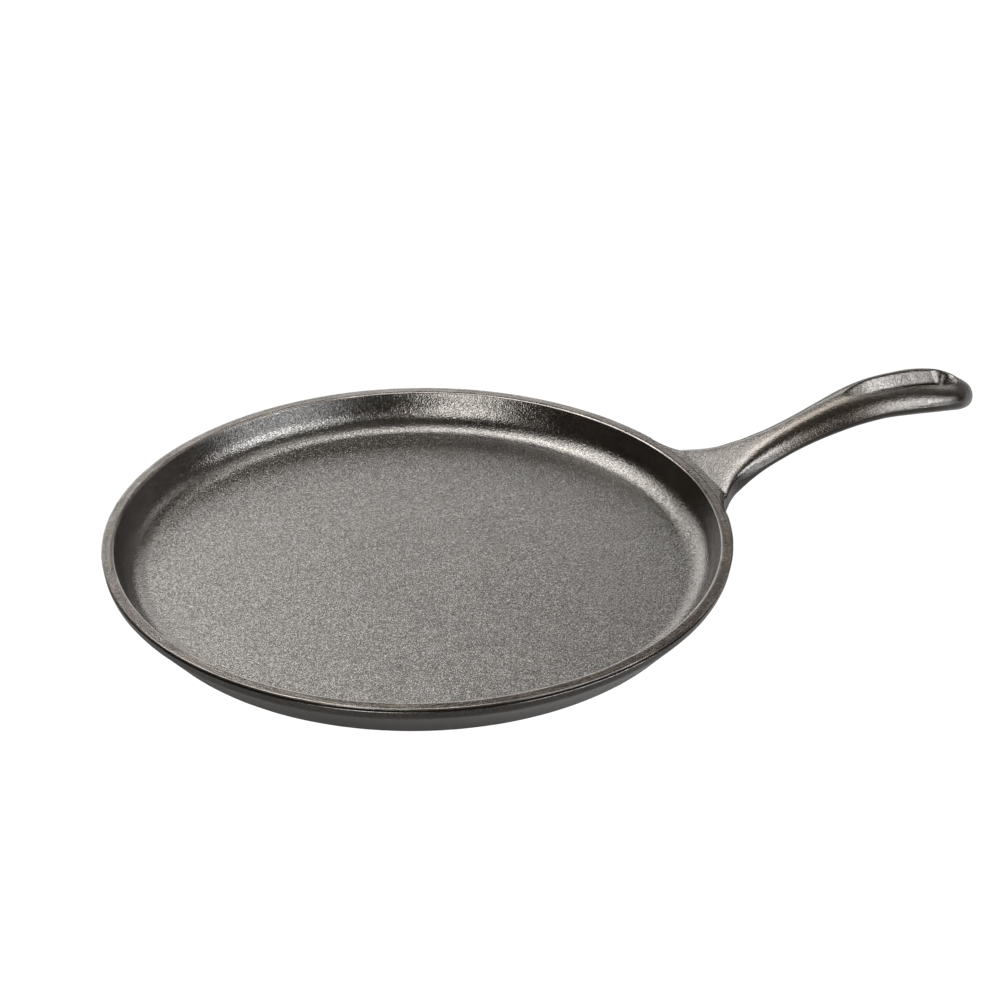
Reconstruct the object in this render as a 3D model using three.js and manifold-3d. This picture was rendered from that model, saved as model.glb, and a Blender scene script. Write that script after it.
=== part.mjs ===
// Round cast-iron griddle pan with a low rim and a long raised handle.
//
// Millimetres, +Z up. The origin is the centre of the flat base, which rests
// on z = 0. The handle runs along +X.
//
// The real pan is a single iron casting. Its four regions are separate bodies
// that meet face to face: the flat cooking plate, the ring of wall and rim
// around it, the flared neck that leaves the rim, and the grip with its
// teardrop hanging hole.

import * as THREE from 'three';
import { mergeVertices } from 'three/addons/utils/BufferGeometryUtils.js';
import Module from 'manifold-3d';

// ---------------------------------------------------------------- dimensions

// pan, all radii from the pan's axis
const RIM_R = 135.0;            // outer radius at the rim
const RIM_H = 20.0;             // height of the rim's flat top
const RIM_EDGE = 0.8;           // rounding of the rim's outer edge
const RIM_INNER_R = 129.9;      // where the inner wall reaches the rim
const RIM_INNER_EDGE = 0.9;     // rounding of the rim's inner edge
const BAND_R = 134.3;           // foot of the near-vertical outer band
const BAND_Z = 15.0;
const BASE_R = 121.1;           // where the lower cone would meet the base
const BASE_FILLET = 3.0;        // rounding between the base and the cone
const FLOOR_Z = 6.0;            // cooking surface, so the plate is 6 thick
const FLOOR_R = 115.5;          // edge of the flat cooking surface
const COVE_R = 13.0;            // cove between cooking surface and wall
const COVE_END = 68;            // degrees of cove before the straight wall
const PAN_SEGMENTS = 96;

// handle, each row: distance from the pan's axis, half-width, height of the
// crown, thickness
const HANDLE_ROOT = [
  [116.0, 45.0, 20.00, 14.0],
  [128.0, 43.0, 20.00, 13.8],
  [130.1, 36.0, 20.00, 13.6],
  [132.8, 29.8, 20.00, 13.4],
  [135.0, 26.3, 20.00, 13.2],
  [137.2, 23.2, 20.00, 13.0],
];
const HANDLE = [
  [137.2, 23.20, 20.00, 13.00],
  [142.0, 18.38, 22.05, 13.29],
  [146.0, 15.52, 23.47, 13.23],
  [150.0, 13.84, 24.81, 13.01],
  [155.0, 12.51, 26.68, 12.54],
  [160.0, 11.60, 28.47, 12.12],
  [166.0, 10.76, 30.48, 11.87],
  [172.0, 10.13, 32.34, 11.81],
  [182.0, 9.83, 35.54, 11.93],
  [195.0, 10.62, 39.80, 12.87],
  [208.0, 12.61, 43.54, 13.58],
  [222.0, 14.57, 45.89, 14.32],
  [236.0, 16.03, 45.79, 14.78],
  [250.0, 16.78, 44.25, 14.70],
  [260.0, 15.19, 42.09, 14.45],
  [268.0, 11.73, 39.02, 14.02],
  [274.0, 9.00, 36.46, 13.70],
];
const CREASE_X = 137.2;         // straight crease between rim and neck
const SPLIT_X = 172.0;          // slimmest place, where neck becomes grip
const CAP_X = 258.0;            // rounding of the free end starts
const TIP_X = 273.6;            // free end
const CAP_POWER = 2.3;
// roundness of the section's upper and lower halves, and the share of the
// thickness that lies below the widest level
const CROWN_POWER = [[116, 10], [137.2, 9], [150, 5.5], [160, 3.4], [170, 2.7], [185, 2.4], [205, 2.2], [274, 2]];
const BELLY_POWER = [[116, 3.3], [137.2, 3.3], [150, 2.9], [165, 2.4], [274, 2.2]];
const BELLY_SHARE = [
  [116, 0.62],
  [137.2, 0.62], [142, 0.595], [146, 0.57], [150, 0.545], [155, 0.514], [160, 0.484], [166, 0.459],
  [172, 0.448], [182, 0.454], [195, 0.473], [208, 0.472], [222, 0.467], [236, 0.472], [250, 0.508],
  [260, 0.528], [268, 0.541], [274, 0.549],
];
// share of the upper half's curve that the parting edge cuts off: 0 leaves the
// side upright at the widest level, more leaves a sharper edge
const EDGE_CUT = [
  [137.2, 0], [141, 0.12], [146, 0.38], [151, 0.56], [160, 0.7], [170, 0.755],
  [185, 0.716], [205, 0.609], [230, 0.471], [250, 0.16], [260, 0], [274, 0],
];
const SECTION_POINTS = 32;
const LEAN_FROM = 130.0;        // the neck's root leans in to follow the cone,
const LEAN_TO = 156.0;          // and stands upright from here on
const JOIN_GAP = 0.3;           // clearance where the neck meets the wall

// teardrop hanging hole, pointed end towards the pan. Its sides slope in from
// the top and from below to a waist. Rows: x, half-width at the upper lip
const HOLE = [
  [197.0, -3.8], [201.0, -1.9], [205.0, 0.0], [208.0, 1.4], [212.0, 3.2], [216.0, 4.5],
  [220.0, 5.55], [225.0, 6.15], [230.0, 6.4], [235.0, 6.75], [240.0, 7.25],
  [245.0, 7.7], [250.0, 7.95], [256.2, 8.1],
];
const HOLE_END_X = 256.2;       // centre of the round end
const HOLE_DRAFT = 38;          // degrees, from the upper lip to the waist
const HOLE_DRAFT_LOW = 26;      // degrees, from the waist down
const HOLE_LIP = 1.2;           // depth of the lip below the crown
const HOLE_WAIST = 6.8;         // depth of the waist below the crown

// ------------------------------------------------------------------ helpers

const wasm = await Module();
wasm.setup();

function linear(table, x) {
  if (x <= table[0][0]) return table[0][1];
  for (let i = 1; i < table.length; i++) {
    if (x <= table[i][0]) {
      const [x0, y0] = table[i - 1];
      const [x1, y1] = table[i];
      return y0 + (y1 - y0) * (x - x0) / (x1 - x0);
    }
  }
  return table[table.length - 1][1];
}

// smooth curve through column c of a table, with three-point slopes
function smooth(table, c, x) {
  const n = table.length;
  let i = 0;
  while (i < n - 2 && x > table[i + 1][0]) i++;
  const slope = (k) => {
    if (k === 0) return (table[1][c] - table[0][c]) / (table[1][0] - table[0][0]);
    if (k === n - 1) return (table[k][c] - table[k - 1][c]) / (table[k][0] - table[k - 1][0]);
    const h0 = table[k][0] - table[k - 1][0];
    const h1 = table[k + 1][0] - table[k][0];
    const d0 = (table[k][c] - table[k - 1][c]) / h0;
    const d1 = (table[k + 1][c] - table[k][c]) / h1;
    return (d0 * h1 + d1 * h0) / (h0 + h1);
  };
  const h = table[i + 1][0] - table[i][0];
  const u = (x - table[i][0]) / h;
  const u2 = u * u;
  const u3 = u2 * u;
  return (2 * u3 - 3 * u2 + 1) * table[i][c] + (u3 - 2 * u2 + u) * h * slope(i)
    + (3 * u2 - 2 * u3) * table[i + 1][c] + (u3 - u2) * h * slope(i + 1);
}

// merged, non-degenerate, outward-facing copy of a geometry
function tidy(geometry) {
  const g = geometry.clone();
  g.deleteAttribute('normal');
  g.deleteAttribute('uv');
  const m = mergeVertices(g, 1e-4);
  const p = m.getAttribute('position').array;
  const index = [];
  for (let i = 0; i < m.index.count; i += 3) {
    const [a, b, c] = [m.index.getX(i), m.index.getX(i + 1), m.index.getX(i + 2)];
    if (a !== b && b !== c && c !== a) index.push(a, b, c);
  }
  let volume = 0;
  for (let i = 0; i < index.length; i += 3) {
    const [a, b, c] = [index[i] * 3, index[i + 1] * 3, index[i + 2] * 3];
    volume += p[a] * (p[b + 1] * p[c + 2] - p[b + 2] * p[c + 1])
      + p[a + 1] * (p[b + 2] * p[c] - p[b] * p[c + 2])
      + p[a + 2] * (p[b] * p[c + 1] - p[b + 1] * p[c]);
  }
  if (volume < 0) {
    for (let i = 0; i < index.length; i += 3) [index[i + 1], index[i + 2]] = [index[i + 2], index[i + 1]];
  }
  const out = new THREE.BufferGeometry();
  out.setAttribute('position', new THREE.BufferAttribute(new Float32Array(p), 3));
  out.setIndex(index);
  return out;
}

function toSolid(geometry) {
  const g = tidy(geometry);
  return new wasm.Manifold(new wasm.Mesh({
    numProp: 3,
    vertProperties: new Float32Array(g.getAttribute('position').array),
    triVerts: new Uint32Array(g.index.array),
  }));
}

function fromSolid(solid) {
  const mesh = solid.getMesh();
  const g = new THREE.BufferGeometry();
  g.setAttribute('position', new THREE.BufferAttribute(new Float32Array(mesh.vertProperties), 3));
  g.setIndex(Array.from(mesh.triVerts));
  return g;
}

// lathe about Z of a closed or axis-to-axis profile of [r, z]
function lathe(profile) {
  const points = profile.map(([r, z]) => new THREE.Vector2(r, z));
  const g = new THREE.LatheGeometry(points, PAN_SEGMENTS);
  g.rotateX(Math.PI / 2);
  return tidy(g);
}

function arc(cr, cz, radius, from, to, steps) {
  const out = [];
  for (let i = 0; i <= steps; i++) {
    const a = THREE.MathUtils.degToRad(from + (to - from) * i / steps);
    out.push([cr + radius * Math.cos(a), cz + radius * Math.sin(a)]);
  }
  return out;
}

// ---------------------------------------------------------------------- pan

const coneAngle = Math.atan2(BAND_Z, BAND_R - BASE_R);          // from horizontal
const filletReach = BASE_FILLET * Math.tan(coneAngle / 2);
const coneDegrees = THREE.MathUtils.radToDeg(coneAngle);

// outer profile, from the base outwards and up to the rim
function outerProfile() {
  return [
    [BASE_R - filletReach, 0],
    ...arc(BASE_R - filletReach, BASE_FILLET, BASE_FILLET, -90, -90 + coneDegrees, 3).slice(1),
    [BAND_R, BAND_Z],
    [RIM_R, RIM_H - RIM_EDGE],
    ...arc(RIM_R - RIM_EDGE, RIM_H - RIM_EDGE, RIM_EDGE, 0, 90, 2).slice(1),
  ];
}

// inner profile, from the rim's flat top down the wall and cove to the plate
function innerProfile() {
  const end = THREE.MathUtils.degToRad(COVE_END);
  const coveTop = [FLOOR_R + COVE_R * Math.sin(end), FLOOR_Z + COVE_R * (1 - Math.cos(end))];
  const dr = RIM_INNER_R - coveTop[0];
  const dz = RIM_H - coveTop[1];
  const run = RIM_INNER_EDGE / Math.hypot(dr, dz);
  const out = [
    [RIM_INNER_R + RIM_INNER_EDGE, RIM_H],
    [RIM_INNER_R + 0.22 * RIM_INNER_EDGE, RIM_H - 0.3 * RIM_INNER_EDGE],
    [RIM_INNER_R - dr * run, RIM_H - dz * run],
  ];
  const steps = 7;
  for (let i = 0; i <= steps; i++) {
    const a = end * (1 - i / steps);
    out.push([FLOOR_R + COVE_R * Math.sin(a), FLOOR_Z + COVE_R * (1 - Math.cos(a))]);
  }
  return out;
}

const plateGeometry = lathe([[0, 0], [FLOOR_R, 0], [FLOOR_R, FLOOR_Z], [0, FLOOR_Z]]);

const ringProfile = [[FLOOR_R, 0], ...outerProfile(), ...innerProfile()];
ringProfile.push(ringProfile[0]);
const ringGeometry = lathe(ringProfile);

// everything inside the pan's outer wall, grown by the joining gap
const outer = outerProfile().map(([r, z]) => [r + JOIN_GAP, z]);
const panCutter = toSolid(lathe([
  [0, -8], [outer[0][0], -8], ...outer.filter(([, z]) => z <= RIM_H - RIM_EDGE),
  [RIM_R + JOIN_GAP, RIM_H + 20], [0, RIM_H + 20],
]));

// ------------------------------------------------------------------- handle

// how far the outer wall lies inside the rim at a height
function wallSetback(z) {
  if (z >= BAND_Z) return (RIM_R - BAND_R) * Math.max(RIM_H - z, 0) / (RIM_H - BAND_Z);
  return RIM_R - BAND_R + (BAND_R - BASE_R) * (BAND_Z - z) / BAND_Z;
}

function section(x) {
  const upright = THREE.MathUtils.smoothstep(x, LEAN_FROM, LEAN_TO);
  const table = x <= CREASE_X ? HANDLE_ROOT : HANDLE;
  const k = Math.min(Math.max((x - CAP_X) / (TIP_X - CAP_X), 0), 1);
  const cap = Math.max(1 - k ** CAP_POWER, 0) ** (1 / CAP_POWER);
  const width = smooth(table, 1, x) * cap;
  const thick = smooth(table, 3, x);
  const top = x <= CREASE_X ? RIM_H : smooth(table, 2, x);
  const share = linear(BELLY_SHARE, x);
  const level = top - thick * (1 - share);
  const scale = cap ** 0.6;
  const ring = [];
  for (let i = 0; i < SECTION_POINTS; i++) {
    const a = 2 * Math.PI * i / SECTION_POINTS;
    const c = Math.cos(a);
    const s = Math.sin(a);
    const n = linear(s >= 0 ? CROWN_POWER : BELLY_POWER, x);
    const y = width * Math.sign(c) * Math.abs(c) ** (2 / n);
    const reach = thick * scale * (s >= 0 ? 1 - share : share);
    const end = s >= 0 ? linear(EDGE_CUT, x) : 0;
    const m = Math.min(Math.abs(c) ** (2 / n), 1);
    const rise = ((1 - m ** n + (end * m) ** n) ** (1 / n) - end) / (1 - end);
    const z = level + reach * Math.sign(s) * rise;
    ring.push([x - (1 - upright) * wallSetback(z), y, z]);
  }
  return { ring, level };
}

// closed skin through sections at the given stations; a tip point closes the
// far end where one is given, a flat cap otherwise
function loft(stations, tip) {
  const position = [];
  const index = [];
  const m = SECTION_POINTS;
  const all = stations.map(section);
  all.forEach(({ ring }) => ring.forEach((p) => position.push(...p)));
  for (let i = 0; i + 1 < all.length; i++) {
    for (let j = 0; j < m; j++) {
      const a = i * m + j;
      const b = i * m + (j + 1) % m;
      index.push(a, b, b + m, a, b + m, a + m);
    }
  }
  const first = position.length / 3;
  position.push(all[0].ring[0][0], 0, all[0].level);
  const last = first + 1;
  if (tip) position.push(...tip);
  else position.push(stations[stations.length - 1], 0, all[all.length - 1].level);
  const base = (all.length - 1) * m;
  for (let j = 0; j < m; j++) {
    index.push(first, (j + 1) % m, j);
    index.push(last, base + j, base + (j + 1) % m);
  }
  const g = new THREE.BufferGeometry();
  g.setAttribute('position', new THREE.BufferAttribute(new Float32Array(position), 3));
  g.setIndex(index);
  return tidy(g);
}

const neckStations = [116, 122, 126, 128, 129, 130.1, 131.4, 132.8, 134, 135, 136, CREASE_X,
  139, 141, 143.5, 146, 149, 152, 155, 158, 161, 164.5, 168, SPLIT_X];
const gripStations = [SPLIT_X, 176, 180, 185, 190, 195, 200, 205, 210, 215, 220, 225, 230, 235,
  240, 245, 250, 254, 257, 260, 263, 265.5, 267.5, 269.3, 270.8, 272, 272.9, 273.4];

const neckGeometry = fromSolid(toSolid(loft(neckStations, null)).subtract(panCutter));

const tipLevel = section(TIP_X - 0.01).level;
const slope = Math.tan(THREE.MathUtils.degToRad(HOLE_DRAFT));
const slopeLow = Math.tan(THREE.MathUtils.degToRad(HOLE_DRAFT_LOW));

// outline of the hole, moved inwards by an inset: the pointed end, one side,
// the round end, and back along the other side
function holeOutline(inset) {
  let lo = HOLE[0][0];
  let hi = HOLE_END_X;
  for (let i = 0; i < 50; i++) {
    const mid = (lo + hi) / 2;
    if (smooth(HOLE, 1, mid) > inset) hi = mid;
    else lo = mid;
  }
  const half = [];
  const along = 20;
  for (let i = 1; i <= along; i++) {
    const x = hi + (HOLE_END_X - hi) * (i / along) ** 1.35;
    half.push([x, smooth(HOLE, 1, x) - inset]);
  }
  const radius = smooth(HOLE, 1, HOLE_END_X) - inset;
  half.push(...arc(HOLE_END_X, 0, radius, 90, 0, 8).slice(1, -1));
  return [[hi, 0], ...half, [HOLE_END_X + radius, 0], ...half.slice().reverse().map(([x, y]) => [x, -y])];
}

// solid of the hole, through its three outlines from below to above
function holeGeometry() {
  const crown = (x) => smooth(HANDLE, 2, x);
  const thick = (x) => smooth(HANDLE, 3, x);
  const waist = (HOLE_WAIST - HOLE_LIP) * slope;
  const over = 2.5;
  const under = 6;
  const levels = [
    [waist - (15.4 - HOLE_WAIST + under) * slopeLow, (x) => crown(x) - thick(x) - under],
    [waist, (x) => crown(x) - HOLE_WAIST],
    [-(over + HOLE_LIP) * slope, (x) => crown(x) + over],
  ];
  const position = [];
  const index = [];
  let m = 0;
  levels.forEach(([inset, height]) => {
    const ring = holeOutline(inset);
    m = ring.length;
    ring.forEach(([x, y]) => position.push(x, y, height(x)));
  });
  for (let i = 0; i + 1 < levels.length; i++) {
    for (let j = 0; j < m; j++) {
      const a = i * m + j;
      const b = i * m + (j + 1) % m;
      index.push(a, b, b + m, a, b + m, a + m);
    }
  }
  const low = position.length / 3;
  const middle = 242;
  position.push(middle, 0, levels[0][1](middle), middle, 0, levels[2][1](middle) + 5);
  for (let j = 0; j < m; j++) {
    index.push(low, (j + 1) % m, j);
    index.push(low + 1, 2 * m + j, 2 * m + (j + 1) % m);
  }
  const g = new THREE.BufferGeometry();
  g.setAttribute('position', new THREE.BufferAttribute(new Float32Array(position), 3));
  g.setIndex(index);
  return tidy(g);
}

const gripGeometry = fromSolid(
  toSolid(loft(gripStations, [TIP_X, 0, tipLevel])).subtract(toSolid(holeGeometry())),
);

// ----------------------------------------------------------------- assembly

function piece(name, geometry, color, roughness) {
  geometry.computeVertexNormals();
  const mesh = new THREE.Mesh(geometry, new THREE.MeshStandardMaterial({ color, roughness, metalness: 0.55 }));
  mesh.name = name;
  return mesh;
}

const pan = new THREE.Group();
pan.name = 'griddle_pan';

const body = new THREE.Group();
body.name = 'pan_body';
body.add(piece('cooking_plate', plateGeometry, 0x55524e, 0.5));
body.add(piece('rim_wall', ringGeometry, 0x4a4744, 0.42));
pan.add(body);

const handle = new THREE.Group();
handle.name = 'handle';
handle.add(piece('handle_neck', neckGeometry, 0x524e49, 0.48));
handle.add(piece('handle_grip', gripGeometry, 0x4e4a46, 0.45));
pan.add(handle);

export default pan;
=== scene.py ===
import math

import bmesh
import bpy
import numpy as np
from mathutils import Matrix, Vector, noise


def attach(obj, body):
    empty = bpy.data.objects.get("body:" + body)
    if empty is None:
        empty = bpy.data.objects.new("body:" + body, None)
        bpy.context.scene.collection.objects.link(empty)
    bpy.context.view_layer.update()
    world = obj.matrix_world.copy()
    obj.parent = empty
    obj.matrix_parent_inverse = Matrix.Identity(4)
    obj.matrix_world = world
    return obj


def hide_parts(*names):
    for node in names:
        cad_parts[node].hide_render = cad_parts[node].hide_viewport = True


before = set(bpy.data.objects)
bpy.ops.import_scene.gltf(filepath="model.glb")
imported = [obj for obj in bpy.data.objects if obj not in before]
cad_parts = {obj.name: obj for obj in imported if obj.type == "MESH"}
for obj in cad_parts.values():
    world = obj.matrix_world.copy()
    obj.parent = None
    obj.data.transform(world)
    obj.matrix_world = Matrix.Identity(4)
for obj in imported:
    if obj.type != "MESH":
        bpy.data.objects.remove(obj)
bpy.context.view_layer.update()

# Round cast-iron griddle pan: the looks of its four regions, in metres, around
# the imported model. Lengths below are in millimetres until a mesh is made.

MM = 0.001

# ------------------------------------------------------------------ dimensions

RIM_R, RIM_H, RIM_EDGE = 135.0, 20.0, 0.8
RIM_INNER_R, RIM_INNER_EDGE, RIM_INNER_DROP = 129.9, 1.6, 0.6
BAND_R, BAND_Z = 134.3, 15.0
BASE_R, BASE_FILLET = 121.1, 3.0
FLOOR_Z, FLOOR_R = 6.0, 115.5
COVE_R, COVE_END = 13.0, 68.0

HANDLE = [
    (137.2, 23.20, 20.00, 13.00), (142.0, 18.38, 22.05, 13.29), (146.0, 15.52, 23.47, 13.23),
    (150.0, 13.84, 24.81, 13.01), (155.0, 12.51, 26.68, 12.54), (160.0, 11.60, 28.47, 12.12),
    (166.0, 10.76, 30.48, 11.87), (172.0, 10.13, 32.34, 11.81), (182.0, 9.83, 35.54, 11.93),
    (195.0, 10.62, 39.80, 12.87), (208.0, 12.61, 43.54, 13.58), (222.0, 14.57, 45.89, 14.32),
    (236.0, 16.03, 45.79, 14.78), (250.0, 16.78, 44.25, 14.70), (260.0, 15.19, 42.09, 14.45),
    (268.0, 11.73, 39.02, 14.02), (274.0, 9.00, 36.46, 13.70),
]
CREASE_X, SPLIT_X, CAP_X, TIP_X, CAP_POWER = 137.2, 172.0, 258.0, 273.6, 2.3
CROWN_POWER = ((137.2, 9), (150.0, 5.5), (160.0, 3.4), (170.0, 2.7), (185.0, 2.4), (205.0, 2.2), (274.0, 2))
BELLY_POWER = ((137.2, 3.3), (150.0, 2.9), (165.0, 2.4), (274.0, 2.2))
BELLY_SHARE = (
    (137.2, 0.62), (142.0, 0.595), (146.0, 0.57), (150.0, 0.545), (155.0, 0.514), (160.0, 0.484),
    (166.0, 0.459), (172.0, 0.448), (182.0, 0.454), (195.0, 0.473), (208.0, 0.472), (222.0, 0.467),
    (236.0, 0.472), (250.0, 0.508), (260.0, 0.528), (268.0, 0.541), (274.0, 0.549),
)
# share of the upper half's curve that the parting edge cuts off: 0 leaves the side
# upright at the widest level, more leaves a sharper edge
EDGE_CUT = (
    (137.2, 0), (141.0, 0.12), (146.0, 0.38), (151.0, 0.56), (160.0, 0.7), (170.0, 0.755),
    (185.0, 0.716), (205.0, 0.609), (230.0, 0.471), (250.0, 0.16), (260.0, 0), (274.0, 0),
)

# the mould's parting line lies at the widest level: the upper half stands out a little
PART_DROP = 0.25
PART_STEP = ((137.2, 0.0), (150.0, -0.10), (160.0, -0.14), (250.0, -0.14), (262.0, -0.10), (270.0, -0.04), (274.0, 0.0))
PART_HIGH = 0.5

HOLE = [
    (201.0, -1.9), (205.0, 0.0), (208.0, 1.4), (212.0, 3.2), (216.0, 4.5), (220.0, 5.55),
    (225.0, 6.15), (230.0, 6.4), (235.0, 6.75), (240.0, 7.25), (245.0, 7.7), (250.0, 7.95),
    (256.2, 8.1),
]
HOLE_START, HOLE_END = 205.0, 256.2
HOLE_SLOPE, HOLE_WAIST = math.tan(math.radians(40.0)), 6.2

# the neck's root on the wall: angles from the handle's line, in degrees
ROOT_TOP, ROOT_LOW = 16.3, 11.0
ROOT_R = RIM_R - RIM_EDGE

N_UP, N_PART, N_LOW = 31, 5, 12     # steps of a half section: above, at and below the parting line
N_COLUMNS = 600     # columns of the pan's ring


# --------------------------------------------------------------------- curves

class Curve:
    """Smooth curve through a column of a table, with three-point slopes."""

    def __init__(self, rows, column):
        self.x = np.array([r[0] for r in rows], float)
        self.y = np.array([r[column] for r in rows], float)
        h = np.diff(self.x)
        d = np.diff(self.y) / h
        self.m = np.empty(len(self.x))
        self.m[0], self.m[-1] = d[0], d[-1]
        self.m[1:-1] = (d[:-1] * h[1:] + d[1:] * h[:-1]) / (h[:-1] + h[1:])

    def __call__(self, q):
        q = np.asarray(q, float)
        i = np.clip(np.searchsorted(self.x, q) - 1, 0, len(self.x) - 2)
        h = self.x[i + 1] - self.x[i]
        u = (q - self.x[i]) / h
        u2, u3 = u * u, u * u * u
        return ((2 * u3 - 3 * u2 + 1) * self.y[i] + (u3 - 2 * u2 + u) * h * self.m[i]
                + (3 * u2 - 2 * u3) * self.y[i + 1] + (u3 - u2) * h * self.m[i + 1])


def line(table, q):
    return np.interp(q, [t[0] for t in table], [t[1] for t in table])


width_of, crown_of, thick_of = Curve(HANDLE, 1), Curve(HANDLE, 2), Curve(HANDLE, 3)
hole_of = Curve(HOLE, 1)


def cap_of(x):
    k = np.clip((np.asarray(x, float) - CAP_X) / (TIP_X - CAP_X), 0.0, 1.0)
    return np.maximum(1.0 - k ** CAP_POWER, 0.0) ** (1.0 / CAP_POWER)


def shape_at(x):
    """Half-width, widest level, reach up, reach down and the two powers at x."""
    cap = cap_of(x)
    share = line(BELLY_SHARE, x)
    thick = thick_of(x)
    level = crown_of(x) - thick * (1 - share)
    scale = cap ** 0.6
    return (width_of(x) * cap, level, thick * scale * (1 - share), thick * scale * share,
            line(CROWN_POWER, x), line(BELLY_POWER, x))


def top_at(x, y):
    w, level, up, _, n, _ = shape_at(x)
    m = np.clip(np.abs(y) / np.maximum(w, 1e-9), 0, 1)
    end = line(EDGE_CUT, x)
    return level + up * ((1 - m ** n + (end * m) ** n) ** (1 / n) - end) / (1 - end)


def belly_at(x, y):
    w, level, _, down, _, n = shape_at(x)
    m = np.clip(np.abs(y) / np.maximum(w, 1e-9), 0, 1)
    return level - down * np.maximum(1 - m ** n, 0) ** (1 / n)


def even(points, count, turn=1.1):
    """Resamples a polyline to count + 1 points, closer together where it turns."""
    p = np.asarray(points, float)
    seg = np.diff(p, axis=0)
    ds = np.linalg.norm(seg, axis=1)
    keep = np.concatenate([[True], ds > 1e-7])
    p = p[keep]
    seg = np.diff(p, axis=0)
    ds = np.linalg.norm(seg, axis=1)
    d = seg / ds[:, None]
    bend = np.arccos(np.clip((d[:-1] * d[1:]).sum(1), -1, 1))
    share = np.zeros(len(ds))
    share[:-1] += bend / 2
    share[1:] += bend / 2
    mu = np.concatenate([[0], np.cumsum(ds / ds.sum() + turn * share / math.pi)])
    q = np.linspace(0, mu[-1], count + 1)
    return np.stack([np.interp(q, mu, p[:, k]) for k in range(p.shape[1])], 1)


def unit_quarter(n, steps=120):
    """Points of a superellipse's quarter, from its crown (0, 1) to its side (1, 0)."""
    a = np.linspace(0, 1, steps)
    m = np.concatenate([a, np.maximum(1 - a ** n, 0) ** (1 / n)])
    z = np.concatenate([np.maximum(1 - a ** n, 0) ** (1 / n), a])
    order = np.lexsort((-z, m))
    return m[order], z[order]


def parted(poly, x, centre=0.0):
    """Resamples a half section, with the small ledge of the mould's parting line."""
    p = np.asarray(poly, float)
    level = float(shape_at(x)[1]) - PART_DROP
    step = float(line(PART_STEP, x))
    side = int(np.argmax(p[:, 0]))
    y, z = p[side:, 0], p[side:, 1]
    level = min(max(level, z[-1] + 0.35 * (z[0] - z[-1])), z[0] - 0.4 * PART_HIGH)
    high, low = min(level + PART_HIGH / 2, z[0] - 1e-4), level - PART_HIGH / 2
    at = lambda q: np.column_stack([np.interp(-q, -z, y), q])
    ledge = at(np.linspace(high, low, N_PART + 1))
    above = even(np.concatenate([p[:side + 1], np.column_stack([y, z])[1:][z[1:] > high + 1e-6], ledge[:1]]), N_UP)
    below = even(np.concatenate([ledge[-1:], np.column_stack([y, z])[z < low - 1e-6]]), N_LOW)
    t = np.linspace(0, 1, N_PART + 1)
    ledge[:, 0] += step * (t * t * (3 - 2 * t) - 0.45)
    near = np.clip(1 - (above[:, 1] - high) / 3.5, 0, 1)
    above[:, 0] -= 0.45 * step * near * near * (above[:, 0] > 0.5 * p[side, 0])
    reach_in = np.clip((below[:, 0] - 0.45 * p[side, 0]) / (0.45 * p[side, 0]), 0, 1)
    below[:, 0] += 0.55 * step * reach_in
    return np.concatenate([above, ledge[1:], below[1:]])


def half_section(x, inner_top=0.0, inner_low=0.0):
    """Half of the handle's section at x: (x, y, z) from its top to its underside."""
    w, level, up, down, nt, nb = (float(v) for v in shape_at(x))
    m, z = unit_quarter(nt)
    y = m * w
    keep = y > inner_top + 1e-6
    top = [(inner_top, float(top_at(x, inner_top)))] + list(zip(y[keep], top_at(x, y[keep])))
    m, z = unit_quarter(nb)
    y = m * w
    keep = y > inner_low + 1e-6
    low = list(zip(y[keep], level - down * z[keep]))[::-1] + [(inner_low, float(belly_at(x, inner_low)))]
    p = parted(top + low[1:], x)
    return np.column_stack([np.full(len(p), x), p])


def bezier(a, c, b, steps):
    t = np.linspace(0, 1, steps + 1)[:, None]
    a, b, c = np.asarray(a, float), np.asarray(b, float), np.asarray(c, float)
    return (1 - t) ** 2 * a + 2 * t * (1 - t) * c + t ** 2 * b


# --------------------------------------------------------------- mesh building

class Skin:
    """Vertices and faces in millimetres; visible first, hidden caps after."""

    def __init__(self):
        self.v, self.f = [], []
        self.n = 0

    def points(self, p):
        p = np.asarray(p, float).reshape(-1, 3)
        self.v.append(p)
        self.n += len(p)
        return np.arange(self.n - len(p), self.n)

    def grid(self, p, flip=False, wrap=False):
        """p: rows x columns x 3. wrap joins the last row to the first."""
        rows, cols = p.shape[:2]
        idx = self.points(p).reshape(rows, cols)
        a = idx if wrap else idx[:-1]
        b = np.roll(idx, -1, axis=0) if wrap else idx[1:]
        for i in range(a.shape[0]):
            for j in range(cols - 1):
                q = (a[i, j], a[i, j + 1], b[i, j + 1], b[i, j])
                self.f.append(q[::-1] if flip else q)
        return idx


def wave(p):
    """Slow unevenness of a sand-cast skin, in millimetres."""
    q = Vector(p)
    return (0.055 * noise.noise(q / 17.0) + 0.030 * noise.noise(q / 6.5 + Vector((31.7, 4.1, 9.3)))
            + 0.014 * noise.noise(q / 2.9 + Vector((3.3, 17.9, 41.0))))


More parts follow.
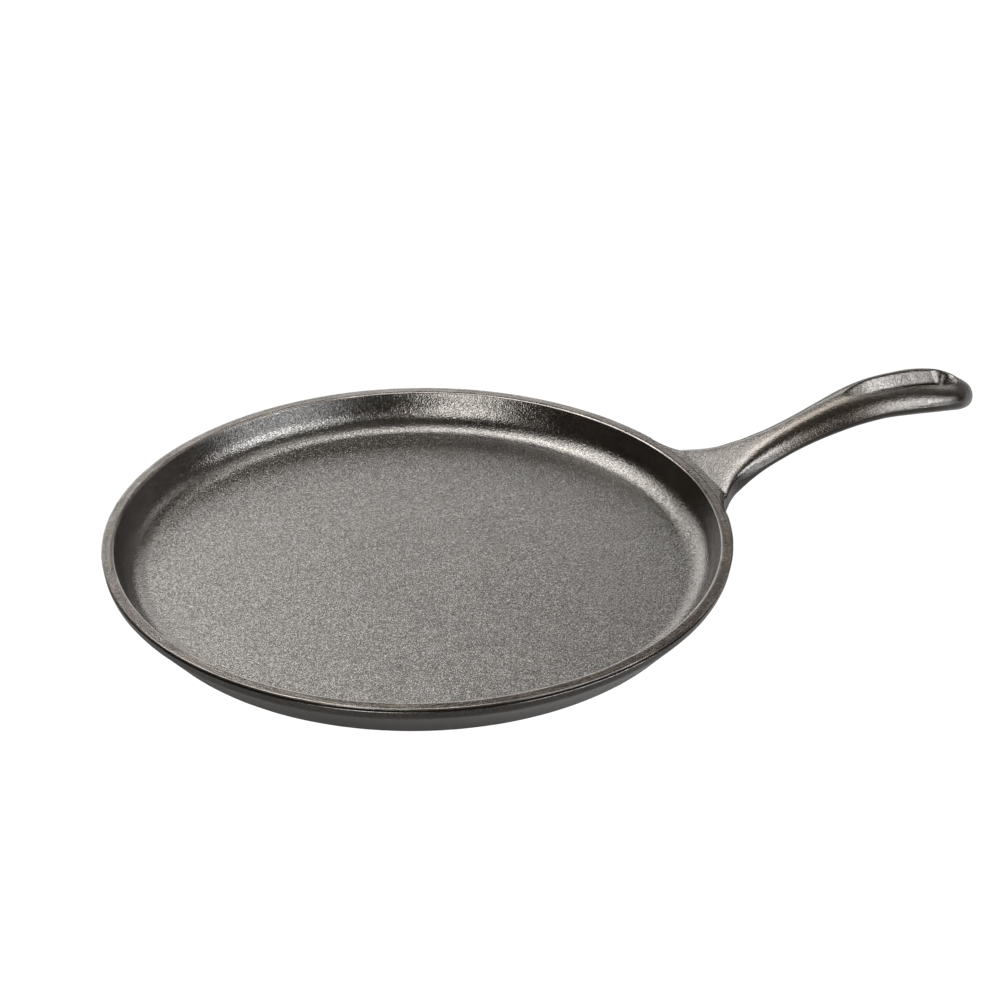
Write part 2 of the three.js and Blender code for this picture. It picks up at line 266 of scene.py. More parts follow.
def build(name, skin, hidden=(), node=None, material=None, flat_below=0.25,
          merge=True, lumps=1.0):
    """Makes the piece: welds the skin, gives it its unevenness, then closes it
    with the hidden caps, whose edges stay sharp."""
    bm = bmesh.new()
    vs = [bm.verts.new(Vector(p)) for p in np.concatenate(skin.v)]
    for f in skin.f:
        q = []
        for i in f:
            if vs[i] not in q:
                q.append(vs[i])
        if len(q) >= 3:
            bm.faces.new(q)
    if merge:
        bmesh.ops.remove_doubles(bm, verts=bm.verts, dist=2e-4)
    bmesh.ops.dissolve_degenerate(bm, dist=1e-5, edges=bm.edges)
    bm.normal_update()
    moves = []
    for v in bm.verts:
        if v.co.z > flat_below:
            moves.append((v, v.normal * wave(v.co) * lumps))
    for v, d in moves:
        v.co += d
    rims = [e for e in bm.edges if e.is_boundary]
    for e in rims:
        e.smooth = False
    for loop_test, centre in hidden:
        edges = [e for e in rims if loop_test(e.verts[0].co) and loop_test(e.verts[1].co)]
        c = bm.verts.new(Vector(centre))
        for e in edges:
            a, b = e.verts
            # keep the winding opposite to the face that is already on the edge
            face = e.link_faces[0]
            loop = [l for l in face.loops if l.edge == e][0]
            if loop.vert == a:
                a, b = b, a
            bm.faces.new((a, b, c))
    for v in bm.verts:
        v.co *= MM
    bm.normal_update()
    me = bpy.data.meshes.new(name)
    bm.to_mesh(me)
    bm.free()
    me.polygons.foreach_set("use_smooth", [True] * len(me.polygons))
    me.update()
    ob = bpy.data.objects.new(name, me)
    bpy.context.scene.collection.objects.link(ob)
    if material:
        me.materials.append(material)
    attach(ob, "root")
    if node:
        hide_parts(node)
    return ob


# ------------------------------------------------------------------ materials

def node(tree, kind, **values):
    n = tree.nodes.new(kind)
    for k, v in values.items():
        if k in n.inputs:
            n.inputs[k].default_value = v
        else:
            setattr(n, k, v)
    return n


def math_node(tree, op, a, b=None, clamp=False):
    n = tree.nodes.new("ShaderNodeMath")
    n.operation = op
    n.use_clamp = clamp
    for i, s in enumerate((a, b)):
        if s is None:
            continue
        if isinstance(s, (int, float)):
            n.inputs[i].default_value = s
        else:
            tree.links.new(s, n.inputs[i])
    return n.outputs[0]


def ramp(tree, value, stops):
    n = tree.nodes.new("ShaderNodeValToRGB")
    el = n.color_ramp.elements
    while len(el) < len(stops):
        el.new(0.5)
    for e, (pos, col) in zip(el, stops):
        e.position = pos
        e.color = (*col, 1.0) if len(col) == 3 else col
    tree.links.new(value, n.inputs["Fac"])
    return n.outputs["Color"]


def noise_node(tree, vector, scale, detail=2.0, rough=0.5):
    n = tree.nodes.new("ShaderNodeTexNoise")
    n.inputs["Scale"].default_value = scale
    n.inputs["Detail"].default_value = detail
    n.inputs["Roughness"].default_value = rough
    tree.links.new(vector, n.inputs["Vector"])
    return n.outputs["Fac"]


def iron(name, tones, rough, grain, fine, lump, ior=1.55, pits=0.3, skin=None, outside=None, along=None):
    """Seasoned cast iron: near-black baked oil over a sand-cast grain.
    tones: dark and light base colours; rough: low and high roughness; grain,
    fine, lump: depth of the three scales of relief, in millimetres; pits: how much
    the pits between the grains shine, a painted shade that stands in for their
    micro-shadowing, placed by noise; skin: the same for the skin between pits and
    grains, halfway if not given; outside: how much of the grain is left on the
    pan's outer wall, which came out smoother; along: the shine's tint at stations
    along the handle."""
    m = bpy.data.materials.new(name)
    m.use_nodes = True
    t = m.node_tree
    t.nodes.clear()
    out = t.nodes.new("ShaderNodeOutputMaterial")
    bsdf = t.nodes.new("ShaderNodeBsdfPrincipled")
    t.links.new(bsdf.outputs[0], out.inputs["Surface"])
    bsdf.inputs["IOR"].default_value = ior
    co = t.nodes.new("ShaderNodeTexCoord").outputs["Object"]
    mott = noise_node(t, co, 38.0, 4.0, 0.6)
    speck = noise_node(t, co, 2800.0, 1.0, 0.5)
    pebble = noise_node(t, co, 1400.0, 1.0, 0.5)
    lumps = noise_node(t, co, 230.0, 2.0, 0.5)
    vor = t.nodes.new("ShaderNodeTexVoronoi")
    vor.feature = "SMOOTH_F1"
    vor.inputs["Scale"].default_value = 1150.0
    vor.inputs["Smoothness"].default_value = 0.6
    t.links.new(co, vor.inputs["Vector"])
    grit = t.nodes.new("ShaderNodeTexVoronoi")
    grit.inputs["Scale"].default_value = 2100.0
    t.links.new(co, grit.inputs["Vector"])
    chip = t.nodes.new("ShaderNodeSeparateColor")
    t.links.new(grit.outputs["Color"], chip.inputs[0])
    tone = math_node(t, "ADD", math_node(t, "MULTIPLY", mott, 0.45), math_node(t, "MULTIPLY", chip.outputs[0], 0.55))
    col = ramp(t, tone, ((0.18, tones[0]), (0.5, [0.5 * (a + b) * 0.8 for a, b in zip(*tones)]), (0.80, tones[1])))
    if outside is not None:
        xyz = t.nodes.new("ShaderNodeSeparateXYZ")
        t.links.new(co, xyz.inputs[0])
        x, y, z = xyz.outputs
        r = math_node(t, "SQRT", math_node(t, "ADD", math_node(t, "MULTIPLY", x, x), math_node(t, "MULTIPLY", y, y)))
        # streaks left along the rim's top by the grinding
        lay = t.nodes.new("ShaderNodeCombineXYZ")
        t.links.new(r, lay.inputs[0])
        t.links.new(math_node(t, "MULTIPLY", math_node(t, "ARCTAN2", y, x), 0.0077), lay.inputs[1])
        streak = noise_node(t, lay.outputs[0], 800.0, 3.0, 0.6)
        ground = t.nodes.new("ShaderNodeMapRange")
        ground.inputs["From Min"].default_value = 0.0194
        ground.inputs["From Max"].default_value = 0.0197
        t.links.new(z, ground.inputs["Value"])
        brown = math_node(t, "MULTIPLY", ground.outputs["Result"], ramp(t, streak, ((0.42, (0, 0, 0)), (0.66, (1, 1, 1)))))
        mix = t.nodes.new("ShaderNodeMix")
        mix.data_type = "RGBA"
        t.links.new(brown, mix.inputs[0])
        t.links.new(col, mix.inputs[6])
        mix.inputs[7].default_value = (0.022, 0.016, 0.012, 1.0)
        col = mix.outputs[2]
    t.links.new(col, bsdf.inputs["Base Color"])
    rmix = math_node(t, "ADD", math_node(t, "MULTIPLY", mott, 0.4), math_node(t, "MULTIPLY", chip.outputs[1], 0.6))
    mr = t.nodes.new("ShaderNodeMapRange")
    mr.inputs["From Min"].default_value = 0.2
    mr.inputs["From Max"].default_value = 0.8
    mr.inputs["To Min"].default_value = rough[0]
    mr.inputs["To Max"].default_value = rough[1]
    t.links.new(rmix, mr.inputs["Value"])
    t.links.new(mr.outputs["Result"], bsdf.inputs["Roughness"])
    # painted shade: the shine is dimmed in noise-placed pits between the grains, standing in for their micro-shadowing
    pit_shade_mask = math_node(t, "ADD", math_node(t, "MULTIPLY", speck, 0.6), math_node(t, "MULTIPLY", chip.outputs[2], 0.4))
    mid = 0.5 * (pits + 1.0) if skin is None else skin
    shine = ramp(t, pit_shade_mask, ((0.33, (pits, pits * 0.96, pits * 0.92)), (0.50, (mid, mid * 0.99, mid * 0.98)), (0.64, (1.0, 1.0, 1.0))))
    if outside is not None:
        dull = t.nodes.new("ShaderNodeMix")
        dull.data_type = "RGBA"
        t.links.new(ground.outputs["Result"], dull.inputs[0])
        t.links.new(shine, dull.inputs[6])
        t.links.new(ramp(t, streak, ((0.36, (0.44, 0.41, 0.39)), (0.50, (0.72, 0.69, 0.67)), (0.66, (0.95, 0.93, 0.91)))), dull.inputs[7])
        shine = dull.outputs[2]
    if along is not None:
        xyz = t.nodes.new("ShaderNodeSeparateXYZ")
        t.links.new(co, xyz.inputs[0])
        reach = math_node(t, "MULTIPLY", math_node(t, "SUBTRACT", xyz.outputs[0], 0.130), 1.0 / 0.150)
        dull = t.nodes.new("ShaderNodeMix")
        dull.data_type = "RGBA"
        dull.blend_type = "MULTIPLY"
        dull.inputs[0].default_value = 1.0
        t.links.new(shine, dull.inputs[6])
        t.links.new(ramp(t, reach, [((x * MM - 0.130) / 0.150, tint) for x, tint in along]), dull.inputs[7])
        shine = dull.outputs[2]
    t.links.new(shine, bsdf.inputs["Specular Tint"])
    height = math_node(t, "ADD", math_node(t, "MULTIPLY", pebble, 0.65),
                       math_node(t, "MULTIPLY", vor.outputs["Distance"], -0.35))
    strength = None
    if outside is not None:
        # 1 on the inside and the rim's top, falling to the outside's share past the outer edge
        slant = math_node(t, "SUBTRACT", r, math_node(t, "MULTIPLY", z, 0.9))
        mo = t.nodes.new("ShaderNodeMapRange")
        mo.inputs["From Min"].default_value = 0.1165
        mo.inputs["From Max"].default_value = 0.1178
        mo.inputs["To Min"].default_value = 1.0
        mo.inputs["To Max"].default_value = outside
        t.links.new(slant, mo.inputs["Value"])
        strength = math_node(t, "SUBTRACT", mo.outputs["Result"], math_node(t, "MULTIPLY", ground.outputs["Result"], 0.55))
    normal = None
    for value, depth in ((lumps, lump), (height, grain), (speck, fine)):
        if depth <= 0:
            continue
        b = t.nodes.new("ShaderNodeBump")
        b.inputs["Strength"].default_value = 1.0
        b.inputs["Distance"].default_value = depth * MM
        t.links.new(value, b.inputs["Height"])
        if strength is not None:
            t.links.new(strength, b.inputs["Strength"])
        if normal is not None:
            t.links.new(normal, b.inputs["Normal"])
        normal = b.outputs["Normal"]
    t.links.new(normal, bsdf.inputs["Normal"])
    return m


TONES = ((0.0017, 0.0013, 0.0010), (0.0115, 0.0093, 0.0074))
PLATE_IRON = iron("iron_cooking_surface", TONES, (0.12, 0.25), 0.11, 0.075, 0.07, ior=1.82, pits=0.05, skin=0.26)
WALL_IRON = iron("iron_wall", TONES, (0.11, 0.23), 0.145, 0.04, 0.08, ior=1.70, pits=0.36, outside=0.4)
# the shine is dimmed and browned along the shank, most from 185 to 206 mm
SHANK = ((137, (1.0, 1.0, 1.0)), (165, (0.94, 0.92, 0.90)), (185, (0.55, 0.50, 0.45)), (206, (0.55, 0.50, 0.45)),
         (222, (0.80, 0.78, 0.765)), (240, (0.83, 0.82, 0.815)), (274, (0.86, 0.85, 0.845)))
HANDLE_IRON = iron("iron_handle", TONES, (0.10, 0.20), 0.10, 0.045, 0.05, ior=1.61, pits=0.5, along=SHANK)


# -------------------------------------------------------------------- the pan

def lathe(profile, columns=N_COLUMNS):
    a = np.linspace(0, 2 * math.pi, columns, endpoint=False)
    p = np.asarray(profile, float)
    g = np.empty((columns, len(p), 3))
    g[..., 0] = np.cos(a)[:, None] * p[:, 0]
    g[..., 1] = np.sin(a)[:, None] * p[:, 0]
    g[..., 2] = p[:, 1]
    return g


def straight(a, b, steps):
    t = np.linspace(0, 1, steps + 1)[:, None]
    return np.asarray(a) * (1 - t) + np.asarray(b) * t


cone_angle = math.atan2(BAND_Z, BAND_R - BASE_R)
cone_dir = np.array([math.cos(cone_angle), math.sin(cone_angle)])
reach = BASE_FILLET * math.tan(cone_angle / 2)
band_dir = np.array([RIM_R - BAND_R, RIM_H - RIM_EDGE - BAND_Z])
band_dir /= np.linalg.norm(band_dir)
crease = np.array([BAND_R, BAND_Z])
CREASE_ROUND = 1.3


# the rim's top is ground flat, which leaves a thin lip over a fine dark groove
LIP = ((134.86, 18.16), (134.60, 18.25), (134.05, 18.42), (133.65, 18.74), (133.75, 19.06), (134.25, 19.25),
       (134.85, 19.36), (135.00, 19.47), (135.04, 19.64), (134.99, 19.82), (134.88, 19.94), (134.72, 19.985),
       (134.5, 20.0), (134.2, 20.0))
LIP_FREE = 6        # the lip's points from this one on wander with the grinding


def outer_rows(lip=False):
    """Outer profile, from the base's seam with the plate to the rim's flat top."""
    rows = [straight((FLOOR_R, 0), (BASE_R - reach, 0), 3)]
    a = np.radians(np.linspace(-90, -90 + math.degrees(cone_angle), 9))
    fillet = np.column_stack([BASE_R - reach + BASE_FILLET * np.cos(a), BASE_FILLET + BASE_FILLET * np.sin(a)])
    rows.append(fillet)
    rows.append(straight(fillet[-1], crease - cone_dir * CREASE_ROUND, 12))
    rows.append(bezier(crease - cone_dir * CREASE_ROUND, crease, crease + band_dir * CREASE_ROUND, 6))
    if lip:
        rows.append(straight(crease + band_dir * CREASE_ROUND, LIP[0], 5))
        rows.append(np.array(LIP))
        return chain(rows)
    rows.append(straight(crease + band_dir * CREASE_ROUND, (RIM_R, RIM_H - RIM_EDGE), 5))
    a = np.radians(np.linspace(0, 90, 8))
    rows.append(np.column_stack([RIM_R - RIM_EDGE + RIM_EDGE * np.cos(a), RIM_H - RIM_EDGE + RIM_EDGE * np.sin(a)]))
    return chain(rows)


def inner_rows():
    """Inner profile, from the rim's flat top down to the seam with the plate."""
    end = math.radians(COVE_END)
    cove_top = np.array([FLOOR_R + COVE_R * math.sin(end), FLOOR_Z + COVE_R * (1 - math.cos(end))])
    edge = np.array([RIM_INNER_R, RIM_H])
    wall = (cove_top - edge) / np.linalg.norm(cove_top - edge)
    rows = [straight((ROOT_R, RIM_H), edge + (RIM_INNER_EDGE, 0), 6)]
    rows.append(bezier(edge + (RIM_INNER_EDGE, 0), edge, edge + wall * RIM_INNER_DROP, 9))
    rows.append(straight(edge + wall * RIM_INNER_DROP, cove_top, 5))
    a = np.concatenate([end * (1 - np.linspace(0, 1, 27))[:-1], [end * 0.004, 0.0]])
    rows.append(np.column_stack([FLOOR_R + COVE_R * np.sin(a), FLOOR_Z + COVE_R * (1 - np.cos(a))]))
    return chain(rows)


def chain(rows):
    out = [rows[0]]
    for r in rows[1:]:
        out.append(r[1:])
    return np.concatenate(out)


OUTER = outer_rows()
OUTER_LIP = outer_rows(lip=True)
INNER = inner_rows()

# ring of wall and rim: one strip from the base's seam to the plate's seam, and
# the hidden seam face between them
ring = Skin()
ring_grid = lathe(np.concatenate([OUTER_LIP, INNER[1:]]))
first = len(OUTER_LIP) - len(LIP) + LIP_FREE
for i in range(N_COLUMNS):
    turn = 2 * math.pi * i / N_COLUMNS
    c, k = math.cos(turn), math.sin(turn)
    here = Vector((c * 134.0, k * 134.0, 0.0))
    # long wander and short chatter of the ground edge
    wander = 0.10 * noise.noise(here / 9.0) + 0.16 * noise.noise(here / 1.9 + Vector((7.0, 1.0, 5.0)))
    burr = max(0.0, noise.noise(here / 21.0 + Vector((2.0, 8.0, 3.0)))) * 0.22
    # under the neck's root the edge lies a little lower, inside the neck
    aside = abs(math.degrees(math.atan2(k, c)))
    under = min(max((ROOT_TOP - 0.1 - aside) / 1.2, 0.0), 1.0)
    for j in range(first, first + 7):
        free = (1.0 - under) if j < first + 6 else 0.0
        ring_grid[i, j, 0] += c * ((wander * 0.5 + burr) * free - 0.25 * under)
        ring_grid[i, j, 1] += k * ((wander * 0.5 + burr) * free - 0.25 * under)
        ring_grid[i, j, 2] += 0.35 * free * (wander if j < first + 3 else 0.0) - 0.3 * under
ring.grid(ring_grid, flip=False, wrap=True)


def close_ring(ob):
    """Joins the ring's two open edges with the hidden face at the plate's seam."""
    bm = bmesh.new()
    bm.from_mesh(ob.data)
    edges = [e for e in bm.edges if e.is_boundary]
    bmesh.ops.bridge_loops(bm, edges=edges)
    bmesh.ops.recalc_face_normals(bm, faces=bm.faces)
    bm.to_mesh(ob.data)
    bm.free()
    ob.data.polygons.foreach_set("use_smooth", [True] * len(ob.data.polygons))
    ob.data.update()


wall = build("rim_wall_skin", ring, node="rim_wall", material=WALL_IRON)
close_ring(wall)

# plate: a disc of rings, its top the cooking surface
plate = Skin()
radii = np.concatenate([[0.0], np.linspace(2.5, FLOOR_R - 0.6, 44), [FLOOR_R - 0.05, FLOOR_R]])
top = lathe(np.column_stack([radii, np.full(len(radii), FLOOR_Z)]), 300)
low_r = np.concatenate([[0.0], np.linspace(8, FLOOR_R, 15)])
low = lathe(np.column_stack([low_r, np.zeros(len(low_r))]), 300)
plate.grid(top, flip=True, wrap=True)
plate.grid(low, flip=False, wrap=True)
plate_ob = build("cooking_plate_skin", plate, node="cooking_plate", material=PLATE_IRON)
close_ring(plate_ob)


# ----------------------------------------------------------------- the handle

def mirrored(skin, p, flip=False):
    """Adds a half's grid and its mirror image across the handle's middle plane."""
    skin.grid(p, flip=flip)
    q = p.copy()
    q[..., 1] *= -1
    skin.grid(q, flip=not flip)


def root_points(section):
    """Where each point of the crease's section meets the pan: the neck's root on
    the wall, tangent there, and the start direction of the flare."""
    y, z = section[:, 1], section[:, 2]
    w, level, up, down, nt, nb = (float(v) for v in shape_at(CREASE_X))
    ratio = y / w
    n = len(section)
    hi = z >= level
    corner = int(np.argmin(np.where(hi, np.abs(ratio - (z - level) / up), 9)))
    foot = int(np.argmin(np.where(~hi, np.abs(ratio - (level - z) / down), 9)))
    # the rim's profile from the edge of its flat top downwards
    prof = OUTER[::-1]
    prof = prof[prof[:, 1] > 2.0]
    length = np.concatenate([[0], np.cumsum(np.linalg.norm(np.diff(prof, axis=0), axis=1))])
    stop = np.interp(4.6, prof[::-1, 1], length[::-1])
    run = np.concatenate([[0], np.cumsum(np.linalg.norm(np.diff(section[:, 1:], axis=0), axis=1))])
    q, d = np.empty((n, 3)), np.empty((n, 3))
    for j in range(n):
        if j <= corner:
            f = y[j] / y[corner]
            phi, r, h = math.radians(ROOT_TOP) * f, ROOT_R, RIM_H
            radial = np.array([math.cos(phi), math.sin(phi), 0])
            across = np.array([math.sin(phi), -math.cos(phi), 0])
            s = f * f * (3 - 2 * f)
            dd = radial * (1 - s) + across * s
        elif j <= foot:
            f = (run[j] - run[corner]) / (run[foot] - run[corner])
            at = stop * f
            r, h = np.interp(at, length, prof[:, 0]), np.interp(at, length, prof[:, 1])
            phi = math.radians(ROOT_TOP + (ROOT_LOW - ROOT_TOP) * f ** 1.6)
            across = np.array([math.sin(phi), -math.cos(phi), 0])
            up_cone = np.array([cone_dir[0] * math.cos(phi), cone_dir[0] * math.sin(phi), cone_dir[1]])
            s = max(f - 0.55, 0) / 0.45
            s = 0.5 * s * s
            dd = across * (1 - s) + up_cone * s
        else:
            f = y[j] / y[foot]
            phi = math.radians(ROOT_LOW) * f
            h = 4.6 - 0.5 * (1 - f * f)
            r = np.interp(h, OUTER[:, 1][3:24], OUTER[:, 0][3:24])
            across = np.array([math.sin(phi), -math.cos(phi), 0])
            up_cone = np.array([cone_dir[0] * math.cos(phi), cone_dir[0] * math.sin(phi), cone_dir[1]])
            s = 1 - 0.5 * f ** 3
            dd = across * (1 - s) + up_cone * s
        q[j] = (r * math.cos(phi), r * math.sin(phi), h)
        d[j] = dd / np.linalg.norm(dd)
    return q, d, corner


def flare(steps):
    """Rings of the neck's root, from the wall to the crease."""
    a = half_section(CREASE_X)
    b = half_section(CREASE_X + 0.6)
    q, dq, corner = root_points(a)
    dp = (b - a) / 0.6
    fade = np.clip((np.arange(len(a)) - corner) / 5.0, 0, 1)
    dp[:, 2] *= fade
    dp /= np.linalg.norm(dp, axis=1)[:, None]
    size = np.linalg.norm(a - q, axis=1)[:, None] * 0.85
    rings = []
    for u in np.linspace(0, 1, steps + 1):
        u2, u3 = u * u, u * u * u
        rings.append((2 * u3 - 3 * u2 + 1) * q + (u3 - 2 * u2 + u) * size * dq
                     + (3 * u2 - 2 * u3) * a + (u3 - u2) * size * dp)
    return np.array(rings)


# neck: the flare at its root, then sections up to the slimmest place
neck = Skin()
rings = list(flare(16))
for x in np.concatenate([CREASE_X + np.array([0.35, 0.9]), np.linspace(CREASE_X + 1.8, SPLIT_X, 30)]):
    rings.append(half_section(x))
mirrored(neck, np.array(rings), flip=True)
neck_ob = build(
    "handle_neck_skin", neck, node="handle_neck", material=HANDLE_IRON,
    hidden=((lambda c: c.x > SPLIT_X - 1.0, (SPLIT_X, 0, float(shape_at(SPLIT_X)[1]))),
            (lambda c: c.x < CREASE_X, (130.5, 0, 12.0))),
)


# grip: sections up to the round end of the hole, then radial ones about its centre
def lip_round(c):
    return np.minimum(1.0, 0.55 * np.maximum(hole_of(c), 0))


def drop(c, y0):
    return float(top_at(c, y0) - belly_at(c, y0))


def inset_start(inset):
    lo, hi = HOLE_START, 225.0
    for _ in range(40):
        mid = (lo + hi) / 2
        if hole_of(mid) > inset:
            hi = mid
        else:
            lo = mid
    return hi


def wall_path(depth, tau, steps=(5, 8, 6, 8, 5)):
    """The hole's side as (inset, depth), from the upper lip to the lower one."""
    low = min(HOLE_WAIST, 0.45 * depth)
    waist = np.array([HOLE_SLOPE * low, low])
    top, bottom = np.array([0.0, 0.0]), np.array([0.0, depth])
    down = (waist - top) / np.linalg.norm(waist - top)
    back = (bottom - waist) / np.linalg.norm(bottom - waist)
    t = max(tau, 1e-4)
    soft = 2.0
    p = [bezier((-t, 0), top, top + down * t, steps[0]),
         straight(top + down * t, waist - down * soft, steps[1]),
         bezier(waist - down * soft, waist, waist + back * soft, steps[2]),
         straight(waist + back * soft, bottom - back * t, steps[3]),
         bezier(bottom - back * t, bottom, (-t, depth), steps[4])]
    return chain(p)


grip = Skin()
before = np.linspace(SPLIT_X, HOLE_START, 24)
along = HOLE_START + (HOLE_END - HOLE_START) * np.linspace(0, 1, 46) ** 1.5
turns = np.linspace(math.pi / 2, 0, 22)

outer = [half_section(x) for x in before[:-1]]
sides = []
for c in along:
    h, tau = max(float(hole_of(c)), 0.0), float(lip_round(c))
    sec = half_section(c, h + tau, h + tau)
    outer.append(sec)
    depth = drop(c, h)
    path = wall_path(depth, tau)
    pts = []
    k = max(0.0, 1 - (c - HOLE_START) / 28.0) ** 2
    for i, (inset, d) in enumerate(path):
        cc = c + (inset_start(max(inset, 0.0)) - HOLE_START) * k
        hh = max(float(hole_of(cc)), 0.0)
        y = max(hh - inset, 0.0)
        z = float(top_at(cc, hh)) - d * drop(cc, hh) / max(depth, 1e-6)
        pts.append((cc, y, z))
    pts[0], pts[-1] = tuple(sec[0]), tuple(sec[-1])
    sides.append(np.array(pts))


def radial_edge(a):
    lo, hi = 9.0, TIP_X - HOLE_END
    for _ in range(50):
        mid = (lo + hi) / 2
        x, y = HOLE_END + mid * math.cos(a), mid * math.sin(a)
        if x >= TIP_X or y > float(width_of(x) * cap_of(x)):
            hi = mid
        else:
            lo = mid
    return lo


for a in turns[1:]:
    r0 = float(hole_of(HOLE_END))
    tau = 1.0 + 0.9 * (1 - a / (math.pi / 2)) ** 2
    ro = radial_edge(a)
    q = 1 - (1 - np.linspace(0, 1, 500)) ** 5
    rr = r0 + tau + (ro - r0 - tau) * q
    x, y = HOLE_END + rr * math.cos(a), rr * math.sin(a)
    up = top_at(x, y)
    dn = belly_at(x, y)
    xe, ye = HOLE_END + ro * math.cos(a), ro * math.sin(a)
    level = float(shape_at(xe)[1])
    poly = [(r, z) for r, z in zip(rr[:-1], up[:-1])] + [(ro, level)] + [(r, z) for r, z in zip(rr[:-1][::-1], dn[:-1][::-1])]
    p = parted(poly, xe)
    outer.append(np.column_stack([HOLE_END + p[:, 0] * math.cos(a), p[:, 0] * math.sin(a), p[:, 1]]))
    xl, yl = HOLE_END + r0 * math.cos(a), r0 * math.sin(a)
    zt, zb = float(top_at(xl, yl)), float(belly_at(xl, yl))
    path = wall_path(zt - zb, tau)
    pts = np.column_stack([HOLE_END + (r0 - path[:, 0]) * math.cos(a), (r0 - path[:, 0]) * math.sin(a), zt - path[:, 1]])
    pts[0], pts[-1] = outer[-1][0], outer[-1][-1]
    sides.append(pts)

mirrored(grip, np.array(outer), flip=True)
mirrored(grip, np.array(sides), flip=False)
grip_ob = build(
    "handle_grip_skin", grip, node="handle_grip", material=HANDLE_IRON,
    hidden=((lambda c: c.x < SPLIT_X + 1.0, (SPLIT_X, 0, float(shape_at(SPLIT_X)[1]))),),
)


# ---------------------------------------------------------------- the studio

def floor_material():
    """White sweep, overlit to the camera as in a catalogue picture; the light that
    it throws back on the pan is that of a pale grey floor."""
    m = bpy.data.materials.new("studio_floor")
    m.use_nodes = True
    t = m.node_tree
    b = t.nodes["Principled BSDF"]
    b.inputs["Base Color"].default_value = (0.196, 0.197, 0.199, 1)
    b.inputs["Roughness"].default_value = 0.9
    b.inputs["Specular IOR Level"].default_value = 0.1
    glow = t.nodes.new("ShaderNodeEmission")
    glow.inputs["Strength"].default_value = 1.05
    mix = t.nodes.new("ShaderNodeMixShader")
    ray = t.nodes.new("ShaderNodeLightPath")
    t.links.new(ray.outputs["Is Camera Ray"], mix.inputs[0])
    t.links.new(b.outputs[0], mix.inputs[1])
    t.links.new(glow.outputs[0], mix.inputs[2])
    t.links.new(mix.outputs[0], t.nodes["Material Output"].inputs["Surface"])
    return m


bpy.ops.mesh.primitive_plane_add(size=60.0, location=(0, 0, -0.0002))
floor = bpy.context.object
floor.name = "studio_floor"
floor.data.materials.append(floor_material())

CAM_POS = Vector((-0.4404, -1.0818, 0.7072))
CAM_FWD = Vector((0.35106, 0.79307, -0.49779)).normalized()
CAM_RIGHT = CAM_FWD.cross(Vector((0, 0, 1))).normalized()
CAM_UP = CAM_RIGHT.cross(CAM_FWD)
CAM_TURN = math.atan2(-CAM_FWD.y, -CAM_FWD.x)

cam = bpy.data.cameras.new("camera")
cam.lens = 113.69
cam.sensor_width = 36.0
cam.sensor_fit = "HORIZONTAL"
cam.clip_end = 50
cam_ob = bpy.data.objects.new("camera", cam)
cam_ob.matrix_world = Matrix((
    (CAM_RIGHT.x, CAM_UP.x, -CAM_FWD.x, CAM_POS.x),
    (CAM_RIGHT.y, CAM_UP.y, -CAM_FWD.y, CAM_POS.y),
    (CAM_RIGHT.z, CAM_UP.z, -CAM_FWD.z, CAM_POS.z),
    (0, 0, 0, 1),
))
bpy.context.scene.collection.objects.link(cam_ob)
bpy.context.scene.camera = cam_ob


def softbox(name, turn, rise, spread_w, spread_h, radiance, colour, distance=1.5):
    """Area light seen from the pan at a direction: turn is measured from the
    camera's side, positive to its right, rise above the floor, spreads in degrees."""
    a, e = CAM_TURN + math.radians(turn), math.radians(rise)
    d = Vector((math.cos(a) * math.cos(e), math.sin(a) * math.cos(e), math.sin(e)))
    light = bpy.data.lights.new(name, "AREA")
    light.shape = "RECTANGLE"
    light.size = 2 * distance * math.tan(math.radians(spread_w / 2))
    light.size_y = 2 * distance * math.tan(math.radians(spread_h / 2))
    light.energy = radiance * math.pi * light.size * light.size_y
    light.color = colour
    ob = bpy.data.objects.new(name, light)
    ob.location = d * distance
    ob.rotation_euler = (-d).to_track_quat("-Z", "Y").to_euler()
    ob.visible_camera = False
    bpy.context.scene.collection.objects.link(ob)
    return ob


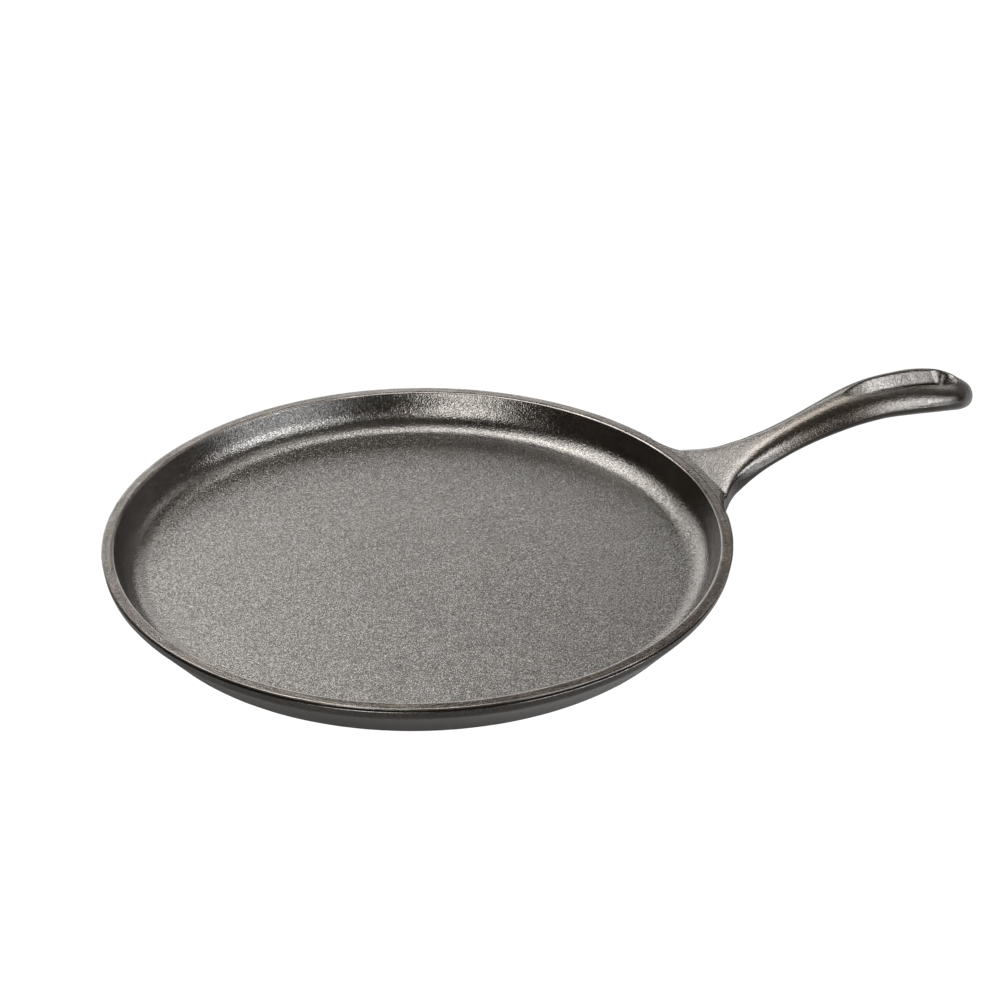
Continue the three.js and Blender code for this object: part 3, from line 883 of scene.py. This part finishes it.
def floor_glow(name, outline, radiance, colour):
    """Patch of the floor that a lamp outside the frame lights strongly."""
    me = bpy.data.meshes.new(name)
    me.from_pydata([(x, y, 0.0002) for x, y in outline], [], [tuple(range(len(outline)))])
    m = bpy.data.materials.new(name)
    m.use_nodes = True
    t = m.node_tree
    t.nodes.clear()
    e = t.nodes.new("ShaderNodeEmission")
    e.inputs["Color"].default_value = (*colour, 1.0)
    e.inputs["Strength"].default_value = radiance
    t.links.new(e.outputs[0], t.nodes.new("ShaderNodeOutputMaterial").inputs["Surface"])
    me.materials.append(m)
    ob = bpy.data.objects.new(name, me)
    ob.visible_camera = False
    bpy.context.scene.collection.objects.link(ob)
    return ob


WARM, CREAM = (1.0, 0.955, 0.90), (1.0, 0.965, 0.925)
NEUTRAL, COOL = (1.0, 0.99, 0.98), (0.97, 0.98, 1.0)
softbox("softbox_back_left", -145, 54, 42, 24, 11.5, WARM)
softbox("softbox_back_left_core", -150, 54, 17, 12, 3.0, WARM)
softbox("softbox_back_top", 180, 59, 22, 25, 5.8, WARM)
softbox("softbox_back_right", 141, 60, 14, 14, 5.0, CREAM)
softbox("softbox_back_right_low", 138, 34, 12, 14, 4.4, CREAM)
softbox("backdrop_left", -167, 19, 48, 18, 3.7, CREAM)
softbox("backdrop_left_bright", -156, 23, 20, 12, 2.5, WARM)
softbox("strip_front", -18, 33, 22, 50, 16.5, WARM)
softbox("softbox_right", 64, 41, 36, 21, 17.0, NEUTRAL)
softbox("softbox_right_up", 54, 54.5, 9, 6, 9.0, NEUTRAL)
softbox("softbox_right_end", 79, 29, 18, 13, 9.5, NEUTRAL)
softbox("softbox_right_low", 56, 12, 44, 18, 7.0, COOL)
softbox("softbox_right_wide", 104, 50, 20, 16, 0.5, COOL)
softbox("fill_right_back", 140, 20, 50, 30, 0.3, COOL)
softbox("fill_above", 90, 84, 26, 26, 0.4, CREAM)
floor_glow("floor_glow_right", ((0.225, -0.068), (0.42, -0.138), (1.5, -0.54), (1.1, -1.5), (0.62, -1.1)), 3.3, COOL)

world = bpy.data.worlds.new("studio")
world.use_nodes = True
world.node_tree.nodes["Background"].inputs["Color"].default_value = (1.0, 0.97, 0.94, 1)
world.node_tree.nodes["Background"].inputs["Strength"].default_value = 0.03
bpy.context.scene.world = world
bpy.context.scene.view_settings.view_transform = "Standard"
